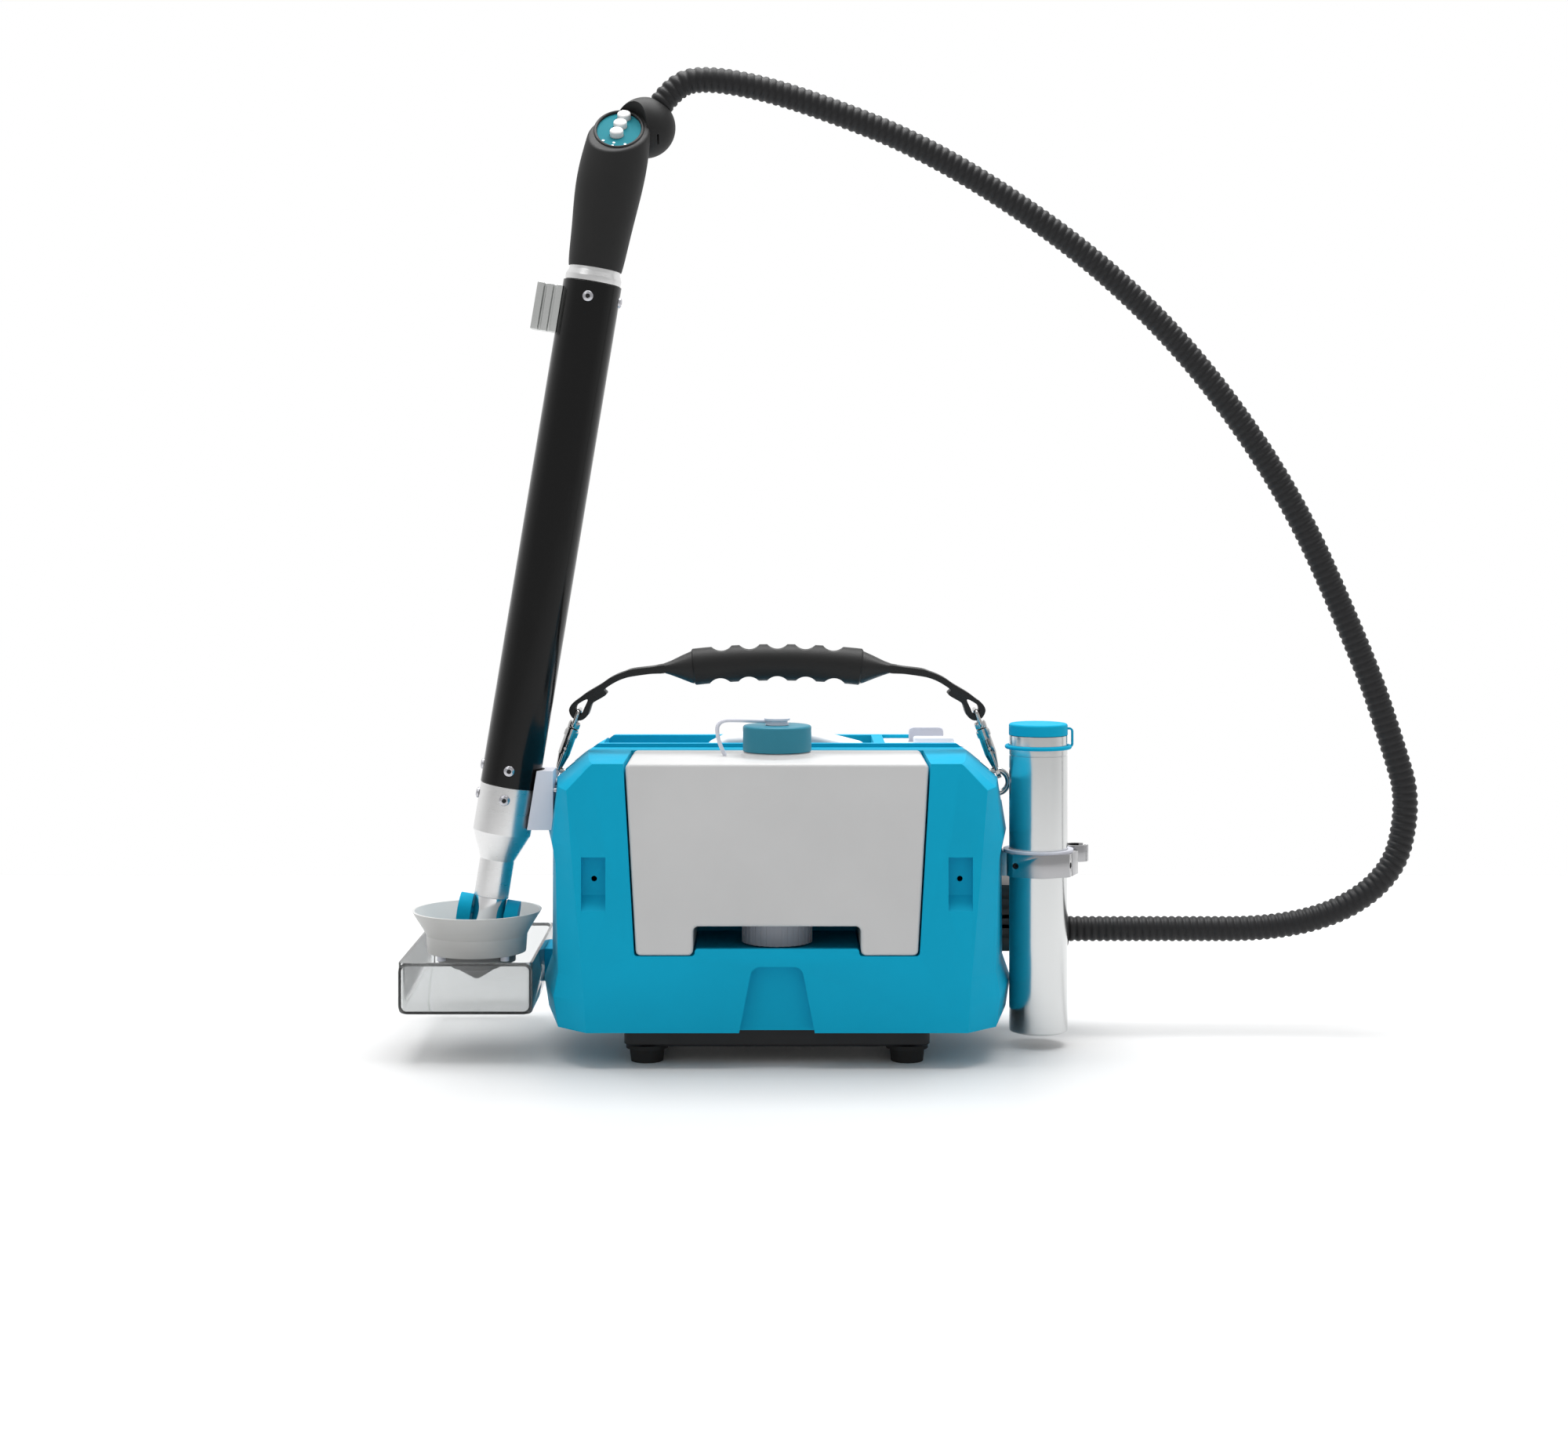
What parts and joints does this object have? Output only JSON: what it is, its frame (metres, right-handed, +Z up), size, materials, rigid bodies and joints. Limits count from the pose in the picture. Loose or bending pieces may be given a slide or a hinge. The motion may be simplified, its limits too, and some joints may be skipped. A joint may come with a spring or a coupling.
{
  "type": "gum removal machine",
  "caption": "Portable gum removal machine: faceted housing with lift-out water tank and battery, heated lance with splash cup over a drip tray, canister and ribbed hose.",
  "frame": {"origin": "middle of the housing's footprint, on the plane that its four rubber feet stand on", "axes": "+X to the right seen from the front, towards the canister; the front, with the tank, faces -Y; +Z up"},
  "size_m": [0.8829, 0.23, 0.8447],
  "materials": {
    "aluminium": "satin",
    "black_anodised": "gloss",
    "black_plastic": "satin",
    "blue_plastic": "satin",
    "board": "matte",
    "brass": "satin",
    "canister_metal": "brushed",
    "chrome": "polished",
    "clear_plastic": "polished",
    "dark_plastic": "satin",
    "grey_plastic": "satin",
    "grip_rubber": "matte",
    "hose_plastic": "satin",
    "light_grey_plastic": "satin",
    "light_lens": "gloss",
    "pale_plastic": "satin",
    "panel_film": "satin",
    "rubber": "matte",
    "steel": "satin",
    "strap_black": "satin",
    "teal_plastic": "satin",
    "white_plastic": "satin"
  },
  "bodies": {
    "housing": {"housing_shell": "blue_plastic", "ring_pins": "steel", "base_pan": "black_plastic", "feet": "rubber", "foot_screws": "steel", "pump_head": "black_plastic", "pump_motor": "steel", "control_board": "board", "tank_socket": "dark_plastic", "water_line": "rubber", "dome_cover": "white_plastic", "lance_bracket": "pale_plastic", "bracket_pad": "rubber", "bracket_screws": "steel", "drip_tray": "clear_plastic", "tray_screws": "steel", "canister_clamp": "aluminium", "clamp_liner": "pale_plastic", "clamp_screws": "steel", "clip_lining": "rubber", "hose_port": "dark_plastic", "hose_gland": "black_plastic", "hose": "hose_plastic"},
    "water_tank": {"tank": "white_plastic", "vent_tether": "pale_plastic"},
    "tank_cap": {"filler_cap": "teal_plastic"},
    "plug": {"vent_plug": "pale_plastic"},
    "outlet": {"outlet_cap": "grey_plastic"},
    "battery": {"battery_case": "pale_plastic", "battery_block": "pale_plastic", "charge_lights": "light_lens"},
    "lever": {"battery_lever": "pale_plastic"},
    "carry_handle": {"carry_grip": "grip_rubber", "carry_straps": "strap_black", "swivel_eyes": "chrome", "snap_hooks": "chrome", "steel_rings": "chrome"},
    "bolt_left": {"hook_bolt_left": "chrome"},
    "bolt_right": {"hook_bolt_right": "chrome"},
    "lance": {"lance_tube": "black_anodised", "nozzle_body": "aluminium", "polished_sleeve": "chrome", "upper_collar": "aluminium", "lance_screws": "steel", "heater_core": "brass", "accessory_rail": "aluminium", "lance_grip": "black_plastic", "touch_panel": "panel_film", "indicator_lights": "light_lens", "button_board": "board"},
    "key_1": {"button_1": "light_lens"},
    "key_2": {"button_2": "light_lens"},
    "key_3": {"button_3": "light_lens"},
    "swivel": {"yoke": "blue_plastic"},
    "head": {"splash_cup": "light_grey_plastic", "cutter_base": "dark_plastic", "glides": "pale_plastic"},
    "bottle": {"canister": "canister_metal", "cap_tether": "blue_plastic"},
    "bottle_cap": {"canister_cap": "blue_plastic"}
  },
  "joints": [
    {"name": "tank_lift", "type": "slide", "parent": "housing", "child": "water_tank", "axis": [0, 0, 1], "range_m": [0, 0.045]},
    {"name": "cap_turn", "type": "hinge", "parent": "water_tank", "child": "tank_cap", "pos_m": [0, -0.05, 0.266], "axis": [0, 0, 1], "continuous": true},
    {"name": "vent_pull", "type": "slide", "parent": "water_tank", "child": "plug", "axis": [0, 0, 1], "range_m": [0, 0.012], "deforming": ["vent_tether"]},
    {"name": "outlet_turn", "type": "hinge", "parent": "water_tank", "child": "outlet", "pos_m": [0, -0.06, 0.106], "axis": [0, 0, 1], "continuous": true},
    {"name": "battery_slide", "type": "slide", "parent": "housing", "child": "battery", "axis": [0, 0, -1], "range_m": [-0.105, 0]},
    {"name": "lever_press", "type": "hinge", "parent": "battery", "child": "lever", "pos_m": [0.1335, 0.08, 0.246], "axis": [1, 0, 0], "range_deg": [0, 25], "stiffness_Nm_per_rad": 0.15},
    {"name": "handle_swing", "type": "hinge", "parent": "housing", "child": "carry_handle", "pos_m": [0, 0, 0.2236], "axis": [-1, 0, 0], "range_deg": [-35, 25]},
    {"name": "bolt_left_slide", "type": "slide", "parent": "carry_handle", "child": "bolt_left", "axis": [0.3406, 0, 0.9402], "range_m": [0, 0.006], "stiffness_N_per_m": 400},
    {"name": "bolt_right_slide", "type": "slide", "parent": "carry_handle", "child": "bolt_right", "axis": [-0.3406, 0, 0.9402], "range_m": [0, 0.006], "stiffness_N_per_m": 400},
    {"name": "lance_lift", "type": "slide", "parent": "housing", "child": "lance", "axis": [-0.5, 0, 0.866], "range_m": [0, 0.08], "deforming": ["hose"]},
    {"name": "key_1_press", "type": "slide", "parent": "lance", "child": "key_1", "axis": [0, 0.632, -0.7749], "range_m": [0, 0.0015], "stiffness_N_per_m": 400},
    {"name": "key_2_press", "type": "slide", "parent": "lance", "child": "key_2", "axis": [0, 0.632, -0.7749], "range_m": [0, 0.0015], "stiffness_N_per_m": 400},
    {"name": "key_3_press", "type": "slide", "parent": "lance", "child": "key_3", "axis": [0, 0.632, -0.7749], "range_m": [0, 0.0015], "stiffness_N_per_m": 400},
    {"name": "yoke_tilt", "type": "hinge", "parent": "lance", "child": "swivel", "pos_m": [-0.24641, -0.034, 0.11578], "axis": [0.9866, 0, -0.1633], "range_deg": [-20, 20]},
    {"name": "head_roll", "type": "hinge", "parent": "swivel", "child": "head", "pos_m": [-0.25252, -0.034, 0.07888], "axis": [0, 1, 0], "range_deg": [-6, 2]},
    {"name": "canister_slide", "type": "slide", "parent": "housing", "child": "bottle", "axis": [0, 0, 1], "range_m": [0, 0.15]},
    {"name": "canister_cap_lift", "type": "slide", "parent": "bottle", "child": "bottle_cap", "axis": [0, 0, 1], "range_m": [0, 0.012], "deforming": ["cap_tether"]}
  ]
}
